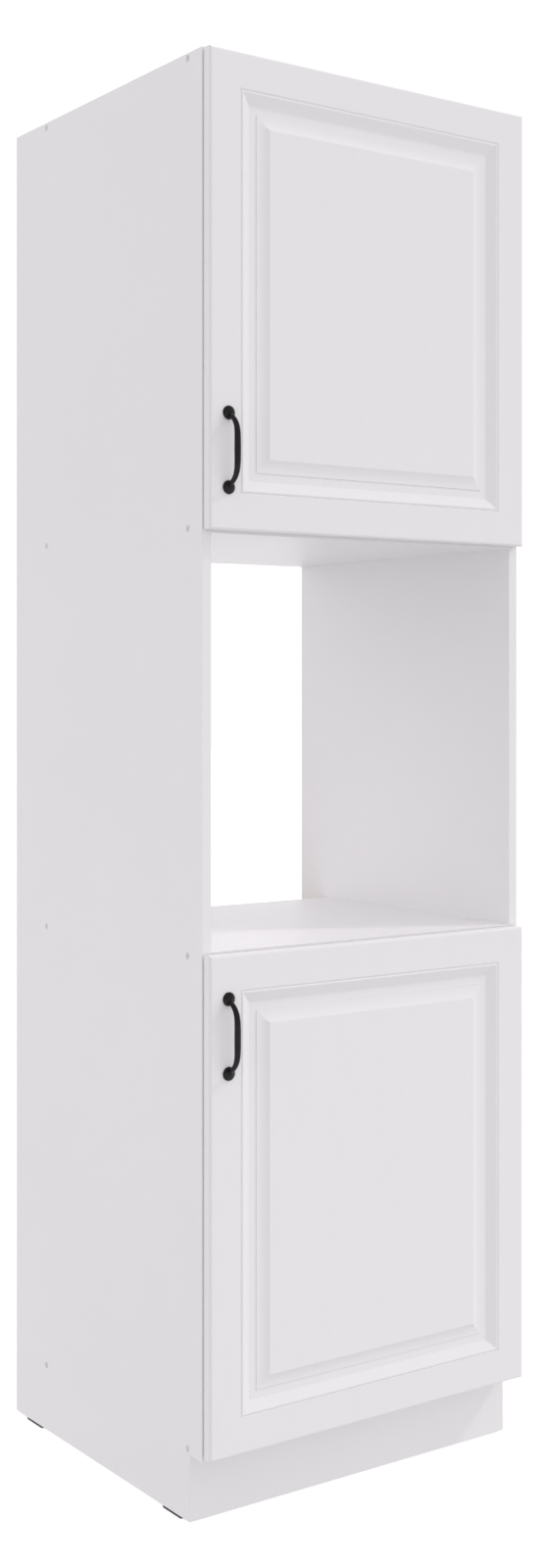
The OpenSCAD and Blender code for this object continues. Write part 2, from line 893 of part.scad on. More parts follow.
// The cup, its flange and its pin, set into the door's back
module hinge_cup() {
    difference() {
        union() {
            translate([cup_x, -door_gap - cup_depth, 0]) rod_y(cup_d / 2, cup_depth);
            translate([cup_x, -door_gap, 0]) rod_y(cup_flange_r, cup_flange_t);
            translate([cup_x + wing_in, -door_gap, -wing_h / 2]) cube([wing_w, cup_flange_t, wing_h]);
        }
        translate([cup_x, -door_gap - cup_depth + cup_wall, 0])
            rod_y(cup_d / 2 - cup_wall, cup_depth + cup_flange_t + cut);
        for (dz = [-cup_screw_z, cup_screw_z]) translate([cup_x + cup_screw_x, -door_gap - cut, dz])
            rod_y(small_screw_r + hole_clear, cup_flange_t + 2 * cut);
        // notch in the rim that the link swings through
        translate([cup_x - cup_flange_r - cut, -door_gap - notch_deep, -link_w / 2 - slot_wall])
            cube([cup_flange_r, notch_deep + cup_flange_t + cut, link_w + 2 * slot_wall]);
    }
    half = sqrt(pow(cup_d / 2 - cup_wall, 2) - pow(cup_x - link_p[0] + cup_pin_r, 2)) + cup_wall / 2;
    translate([link_p[0], link_p[1], -half]) cylinder(r = cup_pin_r, h = 2 * half);
}

module cup_screws(zs) {
    for (z = zs) at_hinge(z) for (dz = [-cup_screw_z, cup_screw_z])
        translate([cup_x + cup_screw_x, cup_flange_t - door_gap, dz])
            rotate([-90, 0, 0]) small_screw(cup_screw_l);
}

// A flat shape along x with round ends of radius r around x = from and x = to
module slot_shape(from, to, r) {
    translate([from, -r]) square([to - from, 2 * r]);
    for (x = [from, to]) translate([x, 0]) circle(r);
}

// The link, cranked to clear the cup's rim. Its slot slides on the pin in the arm's nose.
module hinge_link() {
    neck = [[0, 0], link_belly, [link_min_l - slot_half, 0]];
    half = [0, link_t / 2];
    translate([link_p[0], link_p[1], -link_w / 2]) rotate(link_angle) linear_extrude(link_w)
        difference() {
            union() {
                circle(link_eye_r);
                polygon([for (p = neck) p + half, for (i = [2, 1, 0]) neck[i] - half]);
                slot_shape(link_min_l, link_l, slot_half + slot_wall);
            }
            circle(cup_pin_r + hole_clear);
            slot_shape(link_min_l, link_l, slot_half);
        }
}

// Outline of the arm's two cheeks
module arm_cheek() {
    nose_x = nose_p[0];
    translate(nose_p) circle(nose_r);
    polygon([[arm_low_x, arm_rear_y], [arm_top_x, arm_rear_y], [arm_top_x, arm_bend_y],
             [nose_x + nose_r, door_gap], [nose_x + nose_r, nose_p[1]], [nose_x - nose_r, nose_p[1]],
             [nose_x - nose_r, door_gap], [arm_low_x, arm_low_y]]);
}

// Section of the sheet that joins the cheeks
module arm_web() {
    end_x = nose_p[0] + nose_r;
    polygon([[arm_top_x, arm_rear_y], [arm_top_x, arm_bend_y], [end_x, door_gap],
             [end_x - 2 * arm_sheet, door_gap], [arm_top_x - arm_sheet, arm_bend_y - arm_sheet],
             [arm_top_x - arm_sheet, arm_rear_y]]);
}

module hinge_arm() {
    for (z = [-arm_half_w, arm_half_w - arm_sheet]) translate([0, 0, z])
        linear_extrude(arm_sheet) arm_cheek();
    translate([0, 0, -arm_half_w]) linear_extrude(2 * arm_half_w) arm_web();
    translate([nose_p[0], nose_p[1], -arm_half_w]) cylinder(r = nose_pin_r, h = 2 * arm_half_w);
}

// The mounting plate on the side panel, with a block that the arm sits on
module hinge_plate() {
    block_half = arm_half_w - arm_sheet - edge_clear;
    difference() {
        union() {
            translate([0, plate_in - plate_base_l / 2, -plate_h / 2])
                cube([plate_base_t, plate_base_l, plate_h]);
            translate([0, plate_in - plate_block_l / 2, -block_half])
                cube([arm_top_x - arm_sheet - edge_clear, plate_block_l, 2 * block_half]);
        }
        for (dz = [-plate_pitch / 2, plate_pitch / 2]) translate([-cut, plate_in, dz])
            rod_x(plate_screw_r + hole_clear, plate_base_t + 2 * cut);
    }
}

module plate_screws(zs) {
    for (z = zs, dz = [-plate_pitch / 2, plate_pitch / 2])
        at_hinge(z + dz) translate([plate_base_t, plate_in, 0]) {
            rod_x(plate_screw_head_r, small_head_h);
            translate([-plate_screw_l, 0, 0]) rod_x(plate_screw_r, plate_screw_l);
        }
}

module hinge_plates_upper() {
    color(steel) in_unit() for (z = upper_hinge_zs) at_hinge(z) hinge_plate();
}

module hinge_plates_lower() {
    color(steel) in_unit() for (z = lower_hinge_zs) at_hinge(z) hinge_plate();
}

module plate_screws_upper() {
    color(steel) in_unit() plate_screws(upper_hinge_zs);
}

module plate_screws_lower() {
    color(steel) in_unit() plate_screws(lower_hinge_zs);
}

module hinge_arms_upper() {
    color(steel) in_unit() for (z = upper_hinge_zs) at_hinge(z) hinge_arm();
}

module hinge_arms_lower() {
    color(steel) in_unit() for (z = lower_hinge_zs) at_hinge(z) hinge_arm();
}

module hinge_links_upper() {
    color(steel) in_unit() for (z = upper_hinge_zs) at_hinge(z) hinge_link();
}

module hinge_links_lower() {
    color(steel) in_unit() for (z = lower_hinge_zs) at_hinge(z) hinge_link();
}

module hinge_cups_upper() {
    color(steel) in_unit() for (z = upper_hinge_zs) at_hinge(z) hinge_cup();
}

module hinge_cups_lower() {
    color(steel) in_unit() for (z = lower_hinge_zs) at_hinge(z) hinge_cup();
}

module cup_screws_upper() {
    color(steel) in_unit() cup_screws(upper_hinge_zs);
}

module cup_screws_lower() {
    color(steel) in_unit() cup_screws(lower_hinge_zs);
}

side_left();
side_right();
top_panel();
niche_ceiling();
niche_floor();
bottom_panel();
back_upper();
back_lower();
plinth();
plinth_brackets();
plinth_screws();
glides();
shelf_upper();
shelf_lower();
shelf_pins_upper();
shelf_pins_lower();
carcass_screws_left();
carcass_screws_right();
back_nails_upper();
back_nails_lower();
wall_brackets();
wall_bracket_screws();
hinge_plates_upper();
hinge_plates_lower();
plate_screws_upper();
plate_screws_lower();
hinge_arms_upper();
hinge_arms_lower();
hinge_links_upper();
hinge_links_lower();
hinge_cups_upper();
hinge_cups_lower();
cup_screws_upper();
cup_screws_lower();
door_upper();
door_lower();
handle_upper();
handle_lower();
handle_screws_upper();
handle_screws_lower();
bumpers_upper();
bumpers_lower();
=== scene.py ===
"""Looks of a tall oven housing unit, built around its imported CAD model. Lengths are in metres."""

import math

import bmesh
import bpy
from mathutils import Matrix, Vector


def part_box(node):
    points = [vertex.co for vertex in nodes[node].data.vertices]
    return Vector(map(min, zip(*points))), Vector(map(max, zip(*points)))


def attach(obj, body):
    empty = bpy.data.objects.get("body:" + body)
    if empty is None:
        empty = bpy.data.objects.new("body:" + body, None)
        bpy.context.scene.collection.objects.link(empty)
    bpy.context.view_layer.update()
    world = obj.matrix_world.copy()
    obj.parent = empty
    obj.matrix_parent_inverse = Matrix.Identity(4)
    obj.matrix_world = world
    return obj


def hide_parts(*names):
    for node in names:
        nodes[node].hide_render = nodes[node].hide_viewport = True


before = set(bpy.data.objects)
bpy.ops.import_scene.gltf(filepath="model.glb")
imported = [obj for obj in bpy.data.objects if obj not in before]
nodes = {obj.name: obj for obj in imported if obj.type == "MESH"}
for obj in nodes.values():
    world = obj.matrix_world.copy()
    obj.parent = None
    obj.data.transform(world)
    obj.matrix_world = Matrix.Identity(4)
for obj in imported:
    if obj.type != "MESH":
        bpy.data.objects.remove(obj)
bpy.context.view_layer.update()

MM = 0.001

# ---- Places, the same as in the CAD model ----

LEVELS = ("upper", "lower")
SIDES = (-1, 1)
CROSS_PANELS = ("top_panel", "niche_ceiling", "niche_floor", "bottom_panel")
TO_LEFT, TO_FRONT, TO_REAR, DOWN = (-1, 0, 0), (0, -1, 0), (0, 1, 0), (0, 0, -1)

CARCASS_FRONT_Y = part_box("side_left")[0].y
UNIT_HALF_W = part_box("side_right")[1].x
INNER_HALF_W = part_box("side_right")[0].x
DOOR_BACK_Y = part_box("door_lower")[1].y
DOOR_FRONT_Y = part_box("door_lower")[0].y
DOOR_ZS = {"upper": (1.424, 2.108), "lower": (0.104, 0.820)}
HINGE_ZS = {"upper": (1.524, 2.008), "lower": (0.204, 0.720)}


# ---- Shader tools ----


def add(tree, kind, inputs=None, **settings):
    """Adds a node. inputs maps a socket's name or number to a value or to another node's output."""
    node = tree.nodes.new(kind)
    for key, value in settings.items():
        setattr(node, key, value)
    for key, value in (inputs or {}).items():
        if isinstance(value, bpy.types.NodeSocket):
            tree.links.new(value, node.inputs[key])
        else:
            node.inputs[key].default_value = value
    return node


def new_material(name, **values):
    """A material and its Principled shader, whose sockets hold the given values."""
    material = bpy.data.materials.new(name)
    material.use_nodes = True
    shader = material.node_tree.nodes["Principled BSDF"]
    for key, value in values.items():
        socket = shader.inputs[key.replace("_", " ")]
        socket.default_value = (*value, 1.0) if isinstance(value, tuple) else value
    return material, material.node_tree, shader


def wire(tree, shader, **sources):
    """Links node outputs to sockets of a shader, each named with _ for a space."""
    for key, source in sources.items():
        tree.links.new(source, shader.inputs[key.replace("_", " ")])


def object_coords(tree, stretch=(1.0, 1.0, 1.0)):
    """The point on the object in metres, scaled along each axis."""
    place = add(tree, "ShaderNodeTexCoord").outputs["Object"]
    return add(tree, "ShaderNodeMapping", {"Vector": place, "Scale": stretch}).outputs[0]


def noise(tree, vector, scale, detail=2.0, roughness=0.5):
    inputs = {"Vector": vector, "Scale": scale, "Detail": detail, "Roughness": roughness}
    return add(tree, "ShaderNodeTexNoise", inputs).outputs["Fac"]


def ramp(tree, factor, *stops):
    """Colour or grey by factor: stops are (place, grey or colour)."""
    node = add(tree, "ShaderNodeValToRGB", {"Fac": factor})
    elements = node.color_ramp.elements
    while len(elements) < len(stops):
        elements.new(0.5)
    for element, (place, tone) in zip(elements, stops):
        element.position = place
        element.color = (*(tone if isinstance(tone, tuple) else grey(tone)), 1.0)
    return node.outputs["Color"]


def grey(level):
    return (level, level, level)


def mix(tree, factor, first, second):
    """first where factor is 0, second where it is 1."""
    node = add(tree, "ShaderNodeMix", data_type="RGBA")
    for socket, value in zip(("Factor", "A", "B"), (factor, first, second)):
        target = next(s for s in node.inputs if s.name == socket and s.enabled)
        if isinstance(value, bpy.types.NodeSocket):
            tree.links.new(value, target)
        else:
            target.default_value = (*value, 1.0)
    return next(s for s in node.outputs if s.enabled)


def math_node(tree, operation, *values):
    return add(tree, "ShaderNodeMath", dict(enumerate(values)), operation=operation).outputs[0]


def blend(tree, first, second, share):
    """The sum of two greys, the first by its share and the second by the rest."""
    return math_node(tree, "ADD", math_node(tree, "MULTIPLY", first, share),
                     math_node(tree, "MULTIPLY", second, 1 - share))


def along(tree, direction, towards):
    """How far a direction points towards another one."""
    inputs = {0: direction, 1: towards}
    return add(tree, "ShaderNodeVectorMath", inputs, operation="DOT_PRODUCT").outputs["Value"]


def smooth_step(tree, value, edge, lowest=0.0):
    """The lowest value up to the edge's start, rising smoothly to 1 at its end."""
    inputs = {"Value": value, "From Min": edge[0], "From Max": edge[1], "To Min": lowest}
    return add(tree, "ShaderNodeMapRange", inputs, interpolation_type="SMOOTHSTEP").outputs[0]


def bump(tree, height, distance, strength, normal=None):
    inputs = {"Height": height, "Distance": distance, "Strength": strength}
    if normal is not None:
        inputs["Normal"] = normal
    return add(tree, "ShaderNodeBump", inputs).outputs[0]


# The least part of a face's normal along an axis with which it faces that way
FACING_LIMIT = 0.7


def facing(tree, axis, sign):
    """1 on the faces whose own normal points along an axis, to one side or, with sign 0, to both."""
    normal = add(tree, "ShaderNodeTexCoord").outputs["Normal"]
    part = add(tree, "ShaderNodeSeparateXYZ", {0: normal}).outputs[axis]
    if sign:
        part = math_node(tree, "MULTIPLY", part, float(sign))
    else:
        part = math_node(tree, "ABSOLUTE", part)
    return math_node(tree, "GREATER_THAN", part, FACING_LIMIT)


def soft_edges(tree, radius):
    """A normal that rounds sharp edges in the shading."""
    return add(tree, "ShaderNodeBevel", {"Radius": radius}, samples=4).outputs[0]


# ---- Materials ----

WHITE = (0.925, 0.921, 0.925)
WHITE_SHADE = (0.910, 0.906, 0.910)
FOIL_SHADE = (0.915, 0.911, 0.915)
CHIP_DARK = (0.30, 0.19, 0.10)
CHIP_MID = (0.50, 0.36, 0.22)
CHIP_LIGHT = (0.66, 0.53, 0.37)
FIBRE_DARK = (0.20, 0.115, 0.060)
FIBRE_MID = (0.33, 0.205, 0.115)
FIBRE_LIGHT = (0.43, 0.290, 0.180)
PAINT_BLACK = (0.0040, 0.0036, 0.0040)
PAINT_RUBBED = (0.010, 0.009, 0.010)
RUBBER_CLEAR = (0.93, 0.94, 0.93)

# Radii with which edges are rounded in the shading
BOARD_EDGE_R = 0.5 * MM
DOOR_EDGE_R = 0.9 * MM
PLASTIC_EDGE_R = 0.6 * MM

# Axes and signs of faces
REAR_FACE = (1, 1)
TOP_FACE = (2, 1)
SIDE_FACES = (0, 0)


def laminate(name, *raw_faces):
    """White coated chipboard: a fine pearl texture, and bare chips on the raw faces, (axis, sign) pairs."""
    material, tree, shader = new_material(name)
    place = object_coords(tree)
    pearl = noise(tree, place, 900.0, 2.0)
    colour = ramp(tree, noise(tree, place, 2.5, 3.0), (0.3, WHITE_SHADE), (0.7, WHITE))
    roughness = ramp(tree, noise(tree, place, 35.0, 4.0), (0.3, 0.40), (0.7, 0.50))
    raw = facing(tree, *raw_faces[0])
    for face in raw_faces[1:]:
        raw = math_node(tree, "MAXIMUM", raw, facing(tree, *face))
    chips = add(tree, "ShaderNodeTexVoronoi", {"Vector": place, "Scale": 420.0, "Randomness": 1.0})
    grain = add(tree, "ShaderNodeSeparateColor", {0: chips.outputs["Color"]}).outputs[0]
    chip_colour = ramp(tree, grain, (0.0, CHIP_DARK), (0.45, CHIP_MID), (1.0, CHIP_LIGHT))
    dust = math_node(tree, "MULTIPLY", noise(tree, place, 1600.0, 3.0), 0.6)
    chip_colour = mix(tree, dust, chip_colour, CHIP_LIGHT)
    height = mix(tree, raw, pearl, grain)
    wire(tree, shader,
         Base_Color=mix(tree, raw, colour, chip_colour),
         Roughness=mix(tree, raw, roughness, grey(0.9)),
         Normal=bump(tree, height, 0.03 * MM, 0.35, soft_edges(tree, BOARD_EDGE_R)))
    return material


def foil_front(name):
    """A door wrapped in white foil with a faint wood grain; its back is plain coated board."""
    material, tree, shader = new_material(name, Sheen_Weight=0.04, Sheen_Roughness=0.4)
    place = object_coords(tree)
    fibre = noise(tree, object_coords(tree, (1.0, 1.0, 0.05)), 420.0, 4.0, 0.6)
    figure = noise(tree, object_coords(tree, (1.0, 1.0, 0.12)), 26.0, 3.0, 0.6)
    grain = blend(tree, fibre, figure, 0.6)
    back = facing(tree, *REAR_FACE)
    foil = ramp(tree, grain, (0.35, FOIL_SHADE), (0.62, WHITE))
    plain = ramp(tree, noise(tree, place, 2.5, 3.0), (0.3, WHITE_SHADE), (0.7, WHITE))
    peel = noise(tree, place, 260.0, 1.0)
    normal = bump(tree, mix(tree, back, grain, peel), 0.025 * MM, 0.35, soft_edges(tree, DOOR_EDGE_R))
    wire(tree, shader,
         Base_Color=mix(tree, back, foil, plain),
         Roughness=ramp(tree, fibre, (0.3, 0.36), (0.7, 0.46)),
         Normal=bump(tree, peel, 0.02 * MM, 0.3, normal))
    return material


def hardboard(name):
    """Thin back board: white lacquer inside, brown pressed fibre with a screen pattern outside."""
    material, tree, shader = new_material(name)
    place = object_coords(tree)
    outside = facing(tree, *REAR_FACE)
    fibres = noise(tree, object_coords(tree, (1.0, 1.0, 0.35)), 320.0, 6.0, 0.7)
    blotches = noise(tree, place, 9.0, 4.0)
    tone = blend(tree, fibres, blotches, 0.65)
    brown = ramp(tree, tone, (0.3, FIBRE_DARK), (0.55, FIBRE_MID), (0.75, FIBRE_LIGHT))
    screen = add(tree, "ShaderNodeTexVoronoi", {"Vector": place, "Scale": 700.0, "Randomness": 0.15})
    height = mix(tree, outside, noise(tree, place, 600.0), screen.outputs["Distance"])
    wire(tree, shader,
         Base_Color=mix(tree, outside, WHITE_SHADE, brown),
         Roughness=mix(tree, outside, grey(0.45), grey(0.82)),
         Normal=bump(tree, height, 0.08 * MM, 0.5))
    return material


def metal(name, colour, roughness, edge, stretch=(1.0, 1.0, 1.0), scale=300.0, metallic=1.0):
    """Sheet or turned metal with stains, and brush lines along the axis that stretch makes small."""
    material, tree, shader = new_material(name, Metallic=metallic)
    lines = noise(tree, object_coords(tree, stretch), scale, 4.0, 0.6)
    stains = noise(tree, object_coords(tree), 60.0, 3.0)
    dark = tuple(0.86 * c for c in colour)
    spread = 0.10
    wire(tree, shader,
         Base_Color=ramp(tree, stains, (0.35, dark), (0.65, colour)),
         Roughness=ramp(tree, lines, (0.3, roughness - spread), (0.7, roughness + spread)),
         Normal=bump(tree, lines, 0.012 * MM, 0.4, soft_edges(tree, edge)))
    return material


def black_paint(name):
    """Black powder paint on cast metal: fine orange peel, a dull sheen and slightly rubbed high spots."""
    material, tree, shader = new_material(name, Specular_IOR_Level=0.22)
    place = object_coords(tree)
    wear = noise(tree, place, 120.0, 5.0, 0.7)
    wire(tree, shader,
         Base_Color=ramp(tree, wear, (0.45, PAINT_BLACK), (0.75, PAINT_RUBBED)),
         Roughness=ramp(tree, wear, (0.3, 0.38), (0.7, 0.28)),
         Normal=bump(tree, noise(tree, place, 1400.0, 3.0), 0.05 * MM, 0.35))
    return material


def moulded_plastic(name, dark, light):
    """Spark-eroded plastic between two greys."""
    material, tree, shader = new_material(name, Specular_IOR_Level=0.35)
    place = object_coords(tree)
    spark = noise(tree, place, 1100.0, 2.0)
    wire(tree, shader,
         Base_Color=ramp(tree, noise(tree, place, 80.0, 4.0), (0.3, dark), (0.7, light)),
         Roughness=ramp(tree, spark, (0.3, 0.48), (0.7, 0.62)),
         Normal=bump(tree, spark, 0.04 * MM, 0.5, soft_edges(tree, PLASTIC_EDGE_R)))
    return material


def clear_rubber(name):
    """Clear soft rubber with a little dust on it."""
    material, tree, shader = new_material(
        name, Base_Color=RUBBER_CLEAR, Transmission_Weight=0.85, IOR=1.45)
    dust = noise(tree, object_coords(tree), 900.0, 3.0)
    wire(tree, shader,
         Roughness=ramp(tree, dust, (0.3, 0.12), (0.7, 0.30)),
         Normal=bump(tree, dust, 0.02 * MM, 0.3))
    return material


def floor_paint(name):
    """White studio floor that glows enough to fade into the backdrop."""
    material, tree, shader = new_material(
        name, Specular_IOR_Level=0.1, Emission_Color=(1.0, 1.0, 1.0), Emission_Strength=0.45)
    place = object_coords(tree)
    wire(tree, shader,
         Base_Color=ramp(tree, noise(tree, place, 0.8, 3.0), (0.3, 0.93), (0.7, 0.945)),
         Roughness=ramp(tree, noise(tree, place, 60.0, 3.0), (0.3, 0.80), (0.7, 0.90)))
    return material


SIDE_BOARD = laminate("side_board", REAR_FACE, TOP_FACE)
CROSS_BOARD = laminate("cross_board", REAR_FACE, SIDE_FACES)
SHELF_BOARD = laminate("shelf_board", REAR_FACE)
PLINTH_BOARD = laminate("plinth_board", TOP_FACE)
DOOR_FOIL = foil_front("door_foil")
BACK_BOARD = hardboard("back_board")
BLACK_PAINT = black_paint("black_handle")
NICKEL = metal("hinge_nickel", (0.78, 0.76, 0.73), 0.26, 0.25 * MM, stretch=(1.0, 1.0, 0.06))
ZINC = metal("zinc_sheet", (0.70, 0.72, 0.74), 0.40, 0.3 * MM, scale=90.0)
SCREW_ZINC = metal("screw_zinc", (0.76, 0.76, 0.77), 0.30, 0.15 * MM, scale=800.0)
DULL_ZINC = metal("dull_zinc", (0.80, 0.795, 0.80), 0.58, 0.2 * MM, scale=500.0, metallic=0.2)
BLACK_PLASTIC = moulded_plastic("black_plastic", 0.006, 0.014)
PALE_PLASTIC = moulded_plastic("pale_plastic", 0.70, 0.76)
CLEAR_RUBBER = clear_rubber("clear_rubber")

NODE_FINISHES = {
    SIDE_BOARD: ("side_left", "side_right"),
    CROSS_BOARD: CROSS_PANELS,
    SHELF_BOARD: ("shelf_upper", "shelf_lower"),
    PLINTH_BOARD: ("plinth",),
    DOOR_FOIL: ("door_upper", "door_lower"),
    BACK_BOARD: ("back_upper", "back_lower"),
    NICKEL: ("hinge_plates_upper", "hinge_plates_lower", "hinge_arms_upper", "hinge_arms_lower",
             "hinge_links_upper", "hinge_links_lower", "hinge_cups_upper", "hinge_cups_lower"),
    ZINC: ("plinth_brackets", "wall_brackets"),
    DULL_ZINC: ("carcass_screws_left", "carcass_screws_right"),
    BLACK_PLASTIC: ("glides",),
}
for finish, names in NODE_FINISHES.items():
    for node_name in names:
        slots = nodes[node_name].data.materials
        slots.clear()
        slots.append(finish)


# ---- Mesh tools ----

# Faces that meet at more than this angle are parted by a crease
CREASE_ANGLE = math.radians(35.0)


def piece(name, bm, material, body, slot, *replaced):
    """Turns bm into a smooth-shaded, creased piece that rides on a body.

    slot, None where the record has no slot for the piece's finish, is not used.
    """
    bmesh.ops.recalc_face_normals(bm, faces=bm.faces)
    for face in bm.faces:
        face.smooth = True
    for edge in bm.edges:
        if edge.is_manifold and edge.calc_face_angle(0.0) > CREASE_ANGLE:
            edge.smooth = False
    mesh = bpy.data.meshes.new(name)
    bm.to_mesh(mesh)
    bm.free()
    mesh.materials.append(material)
    obj = bpy.data.objects.new(name, mesh)
    bpy.context.scene.collection.objects.link(obj)
    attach(obj, body)
    if replaced:
        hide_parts(*replaced)


def skin_rings(bm, rings):
    """A closed skin over rings of vertices, each with as many as the next, or one at a tip."""
    for first, second in zip(rings, rings[1:]):
        count = max(len(first), len(second))
        for i in range(count):
            j = (i + 1) % count
            corners = [first[i % len(first)], first[j % len(first)],
                       second[j % len(second)], second[i % len(second)]]
            bm.faces.new(list(dict.fromkeys(corners)))
    for ring in (rings[0], rings[-1]):
        if len(ring) > 2:
            bm.faces.new(ring)


def lathe(bm, profile, place, segments):
    """A turned solid: profile has (radius, height) pairs about the local z axis, from end to end."""
    rings = []
    for radius, height in profile:
        count = segments if radius > 1e-7 else 1
        angles = (2 * math.pi * i / segments for i in range(count))
        points = (Vector((radius * math.cos(a), radius * math.sin(a), height)) for a in angles)
        rings.append([bm.verts.new(place @ point) for point in points])
    skin_rings(bm, rings)


def pointing(position, direction):
    """A placement whose local z axis points along direction."""
    turn = Vector(direction).to_track_quat("Z", "Y").to_matrix().to_4x4()
    return Matrix.Translation(position) @ turn


def in_mm(*points):
    """Points given in millimetres, in metres."""
    return [tuple(value * MM for value in point) for point in points]


def arc(centre_h, radius, start, end, steps):
    """(radius, height) points on a circle about (0, centre_h), angles in degrees, both ends included."""
    angles = (math.radians(start + (end - start) * i / steps) for i in range(steps + 1))
    return [(radius * math.cos(a), centre_h + radius * math.sin(a)) for a in angles]


def dome(centre_h, radius, start, steps):
    """An arc that ends in a tip on the axis."""
    return arc(centre_h, radius, start, 90, steps)[:-1] + [(0.0, centre_h + radius)]


def cut_mesh(name, body_bm, cutter_bm):
    """The mesh of a body less a cutter."""
    objects = []
    for bm in (body_bm, cutter_bm):
        bmesh.ops.recalc_face_normals(bm, faces=bm.faces)
        mesh = bpy.data.meshes.new(name)
        bm.to_mesh(mesh)
        bm.free()
        obj = bpy.data.objects.new(name, mesh)
        bpy.context.scene.collection.objects.link(obj)
        objects.append(obj)
    modifier = objects[0].modifiers.new("cut", "BOOLEAN")
    modifier.object, modifier.operation, modifier.solver = objects[1], "DIFFERENCE", "EXACT"
    graph = bpy.context.evaluated_depsgraph_get()
    result = bpy.data.meshes.new_from_object(objects[0].evaluated_get(graph))
    for obj in objects:
        bpy.data.objects.remove(obj)
    return result


def screw_mesh(head_r, head_h, shank_r, shank_l, recess_r):
    """A pan-head screw whose head lies on z = 0 and rises to head_h, with a cross recess."""
    crown_drop = 0.9 * head_r
    crown = arc(-crown_drop, crown_drop + head_h, 90, 62, 6)
    crown = [(min(r, 0.97 * head_r), h) for r, h in crown if h > 0.35 * head_h]
    profile = [(0.0, -shank_l), (0.25 * shank_r, -shank_l), (shank_r, -shank_l + 1.6 * shank_r),
               (shank_r, 0.0), (head_r, 0.0), (head_r, 0.4 * head_h), *reversed(crown)]
    body = bmesh.new()
    lathe(body, profile, Matrix.Identity(4), 40)
    cutter = bmesh.new()
    half, wing = 0.18 * recess_r, recess_r
    outline = [(wing, -half), (wing, half), (half, half), (half, wing), (-half, wing), (-half, half),
               (-wing, half), (-wing, -half), (-half, -half), (-half, -wing), (half, -wing), (half, -half)]
    # The recess narrows from over the head, where it is cut at full size, to its floor
    rings = [[cutter.verts.new((x * taper, y * taper, z)) for x, y in outline]
             for taper, z in ((0.45, 0.15 * head_h), (1.0, 1.3 * head_h))]
    skin_rings(cutter, rings)
    return cut_mesh("screw", body, cutter)


def screws(name, mesh, placements, body, *replaced):
    """One zinc-plated piece with a copy of a screw at each placement."""
    bm = bmesh.new()
    for place in placements:
        before = len(bm.verts)
        bm.from_mesh(mesh)
        bm.verts.ensure_lookup_table()
        bmesh.ops.transform(bm, matrix=place, verts=bm.verts[before:])
    piece(name, bm, SCREW_ZINC, body, "screw_steel", *replaced)


# ---- Handles ----

HANDLE_X = -0.2664
HANDLE_ZS = {"upper": 1.5375, "lower": 0.704}
HANDLE_PITCH = 106 * MM

# The bow starts a little inside its feet, and its depth goes with a power of the distance to its middle
BOW_START = 1.5 * MM
BOW_OUT = 23 * MM
BOW_POWER = 5
BOW_WIDTHS = (10 * MM, 6.6 * MM)  # at the middle and the ends
BOW_THICKNESSES = (8 * MM, 6.6 * MM)
BOW_STEPS = 64
BOW_SIDES = 28
BOW_LAST = 0.995

ROSETTE_R = 10 * MM
ROSETTE_RIM = 2 * MM
ROSETTE_DOME = 3.6 * MM


def bow_ring(bm, t, z):
    """The bow's section at t from -1 to 1 along its half length."""
    half = HANDLE_PITCH / 2 - BOW_START
    rise = math.copysign(BOW_POWER * BOW_OUT * abs(t) ** (BOW_POWER - 1), t)
    normal = Vector((0.0, -half, rise)).normalized()
    swell = 1 - t * t
    width, thickness = (end + (middle - end) * swell for middle, end in (BOW_WIDTHS, BOW_THICKNESSES))
    centre = Vector((HANDLE_X, DOOR_FRONT_Y - BOW_OUT * (1 - abs(t) ** BOW_POWER), z + half * t))
    ring = []
    for i in range(BOW_SIDES):
        a = 2 * math.pi * i / BOW_SIDES
        across = Vector((width / 2 * math.cos(a), 0.0, 0.0))
        ring.append(bm.verts.new(centre + across + thickness / 2 * math.sin(a) * normal))
    return ring


def rosette_profile():
    """A flat disc with a chamfered foot, a shallow step and a dome."""
    dome_r = (ROSETTE_R ** 2 + ROSETTE_DOME ** 2) / (2 * ROSETTE_DOME)
    spread = math.degrees(math.asin((ROSETTE_R - 0.5 * MM) / dome_r))
    rim = [(ROSETTE_R - 0.3 * MM, 0.0), (ROSETTE_R, 0.3 * MM), (ROSETTE_R, ROSETTE_RIM - 0.4 * MM)]
    return [(0.0, 0.0), *rim, *dome(ROSETTE_RIM + ROSETTE_DOME - dome_r, dome_r, 90 - spread, 14)]


for level in LEVELS:
    bm = bmesh.new()
    middle = HANDLE_ZS[level]
    stations = (math.sin(math.pi * (i / BOW_STEPS - 0.5)) * BOW_LAST for i in range(BOW_STEPS + 1))
    skin_rings(bm, [bow_ring(bm, t, middle) for t in stations])
    for end in SIDES:
        foot = (HANDLE_X, DOOR_FRONT_Y, middle + end * HANDLE_PITCH / 2)
        lathe(bm, rosette_profile(), pointing(foot, TO_FRONT), 64)
    piece(f"bow_handle_{level}", bm, BLACK_PAINT, f"{level}_door", "black_handle", f"handle_{level}")


# ---- Screws and bumpers of the doors and hinges ----

SMALL_SCREW = screw_mesh(3.4 * MM, 1.6 * MM, 1.7 * MM, 12 * MM, 2.0 * MM)
PLATE_SCREW = screw_mesh(4 * MM, 1.6 * MM, 2.4 * MM, 12 * MM, 2.3 * MM)
HANDLE_SCREW = screw_mesh(4 * MM, 2.4 * MM, 2 * MM, 19 * MM, 2.3 * MM)
ARM_SCREW = screw_mesh(3.3 * MM, 0.9 * MM, 1.5 * MM, 4 * MM, 2.0 * MM)

